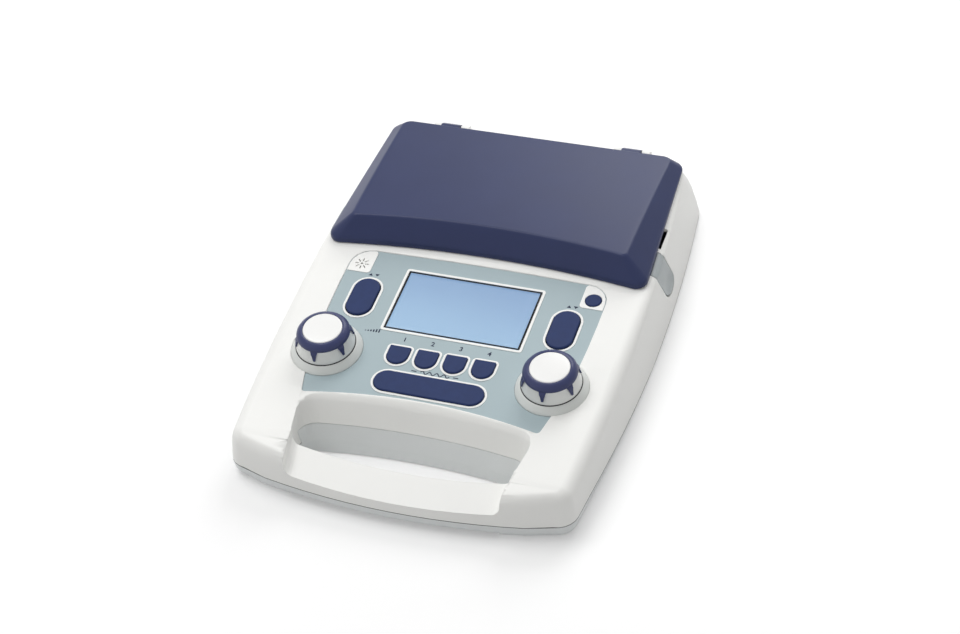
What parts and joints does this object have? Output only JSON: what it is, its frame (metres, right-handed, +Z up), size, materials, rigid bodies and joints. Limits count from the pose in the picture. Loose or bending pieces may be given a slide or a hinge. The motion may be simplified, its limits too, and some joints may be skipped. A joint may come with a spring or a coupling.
{
  "type": "audiometer",
  "caption": "Portable desktop audiometer with carrying bar, sloped control panel, two dials, keys, screen and hinged storage lid",
  "frame": {"origin": "Centre of the footprint, on the surface that the feet stand on", "axes": "+X to the right as the user faces the panel, +Y to the rear, +Z up"},
  "size_m": [0.2508, 0.363, 0.0688],
  "materials": {
    "casing_white": "fine satin moulded ABS, warm white",
    "base_grey": "satin moulded ABS, pale grey",
    "panel_print": "matt printed film, blue grey",
    "carrier_white": "satin moulded ABS, white",
    "dial_body": "satin moulded ABS, warm light grey",
    "dial_cap": "smooth white cap",
    "dial_grip": "soft-touch navy",
    "lens": "clear hard-coated window",
    "display": "pale blue graphic display in a black frame",
    "silicone": "matt silicone",
    "circuit_board": "green solder mask",
    "foot_rubber": "dark rubber",
    "socket_black": "black moulded nylon",
    "plate_grey": "dark grey moulded ABS",
    "encoder_metal": "plated can",
    "steel": "plated steel",
    "lid_navy": "satin moulded ABS, navy",
    "latch_grey": "satin moulded ABS, mid grey",
    "key_navy": "satin navy key"
  },
  "bodies": {
    "housing": {"upper_casing": "casing_white", "lower_casing": "base_grey", "panel_overlay": "panel_print", "panel_carrier": "carrier_white", "dial_collar_left": "dial_body", "dial_collar_right": "dial_body", "screen_lens": "lens", "display_module": "display", "key_mat": "silicone", "keypad_board": "circuit_board", "main_board": "circuit_board", "loudspeaker": "socket_black", "encoder_left": "encoder_metal", "encoder_right": "encoder_metal", "storage_tray": "casing_white", "socket_plate": "plate_grey", "audio_socket_1": "socket_black", "audio_socket_2": "socket_black", "audio_socket_3": "socket_black", "audio_socket_4": "socket_black", "audio_socket_5": "socket_black", "power_inlet": "socket_black", "hinge_brackets": "casing_white", "hinge_pins": "steel", "latch_brackets": "casing_white", "latch_pins": "steel", "rocker_pins": "steel", "rubber_feet": "foot_rubber", "casing_screws": "steel", "board_screws": "steel"},
    "lid": {"lid": "lid_navy", "lid_hinge_arms": "lid_navy"},
    "latch_left": {"latch_left": "latch_grey"},
    "latch_right": {"latch_right": "latch_grey"},
    "dial_left": {"dial_skirt_left": "dial_body", "dial_grip_left": "dial_grip", "dial_cap_left": "dial_cap", "dial_shaft_left": "steel"},
    "dial_right": {"dial_skirt_right": "dial_body", "dial_grip_right": "dial_grip", "dial_cap_right": "dial_cap", "dial_shaft_right": "steel"},
    "rocker_left": {"rocker_left": "key_navy"},
    "rocker_right": {"rocker_right": "key_navy"},
    "function_key_1_body": {"function_key_1": "key_navy"},
    "function_key_2_body": {"function_key_2": "key_navy"},
    "function_key_3_body": {"function_key_3": "key_navy"},
    "function_key_4_body": {"function_key_4": "key_navy"},
    "tone_bar_body": {"tone_bar": "key_navy"},
    "power_button_body": {"power_button": "key_navy"}
  },
  "joints": [
    {"name": "lid_hinge", "type": "hinge", "parent": "housing", "child": "lid", "pos_m": [0, 0.154, 0.05542], "axis": [-1, 0, 0], "range_deg": [0, 105]},
    {"name": "latch_left_pivot", "type": "hinge", "parent": "housing", "child": "latch_left", "pos_m": [-0.11344, 0.05214, 0.03265], "axis": [0, -1, 0], "range_deg": [0, 7], "stiffness_Nm_per_rad": 0.3, "springref_deg": -5.73},
    {"name": "latch_right_pivot", "type": "hinge", "parent": "housing", "child": "latch_right", "pos_m": [0.11344, 0.05214, 0.03265], "axis": [0, 1, 0], "range_deg": [0, 7], "stiffness_Nm_per_rad": 0.3, "springref_deg": -5.73},
    {"name": "dial_left_turn", "type": "hinge", "parent": "housing", "child": "dial_left", "pos_m": [-0.0786, -0.0778, 0.04074], "axis": [0, -0.0872, 0.9962], "continuous": true},
    {"name": "dial_right_turn", "type": "hinge", "parent": "housing", "child": "dial_right", "pos_m": [0.0786, -0.0778, 0.04074], "axis": [0, -0.0872, 0.9962], "continuous": true},
    {"name": "rocker_left_tilt", "type": "hinge", "parent": "housing", "child": "rocker_left", "pos_m": [-0.0712, -0.02745, 0.03892], "axis": [1, 0, 0], "range_deg": [-2.5, 2.5], "stiffness_Nm_per_rad": 0.35},
    {"name": "rocker_right_tilt", "type": "hinge", "parent": "housing", "child": "rocker_right", "pos_m": [0.0712, -0.02745, 0.03892], "axis": [1, 0, 0], "range_deg": [-2.5, 2.5], "stiffness_Nm_per_rad": 0.35},
    {"name": "function_key_1_press", "type": "slide", "parent": "housing", "child": "function_key_1_body", "axis": [0, -0.0872, 0.9962], "range_m": [-0.0008, 0], "stiffness_N_per_m": 700},
    {"name": "function_key_2_press", "type": "slide", "parent": "housing", "child": "function_key_2_body", "axis": [0, -0.0872, 0.9962], "range_m": [-0.0008, 0], "stiffness_N_per_m": 700},
    {"name": "function_key_3_press", "type": "slide", "parent": "housing", "child": "function_key_3_body", "axis": [0, -0.0872, 0.9962], "range_m": [-0.0008, 0], "stiffness_N_per_m": 700},
    {"name": "function_key_4_press", "type": "slide", "parent": "housing", "child": "function_key_4_body", "axis": [0, -0.0872, 0.9962], "range_m": [-0.0008, 0], "stiffness_N_per_m": 700},
    {"name": "tone_bar_press", "type": "slide", "parent": "housing", "child": "tone_bar_body", "axis": [0, -0.0872, 0.9962], "range_m": [-0.001, 0], "stiffness_N_per_m": 900},
    {"name": "power_button_press", "type": "slide", "parent": "housing", "child": "power_button_body", "axis": [0, -0.0872, 0.9962], "range_m": [-0.0008, 0], "stiffness_N_per_m": 700}
  ]
}
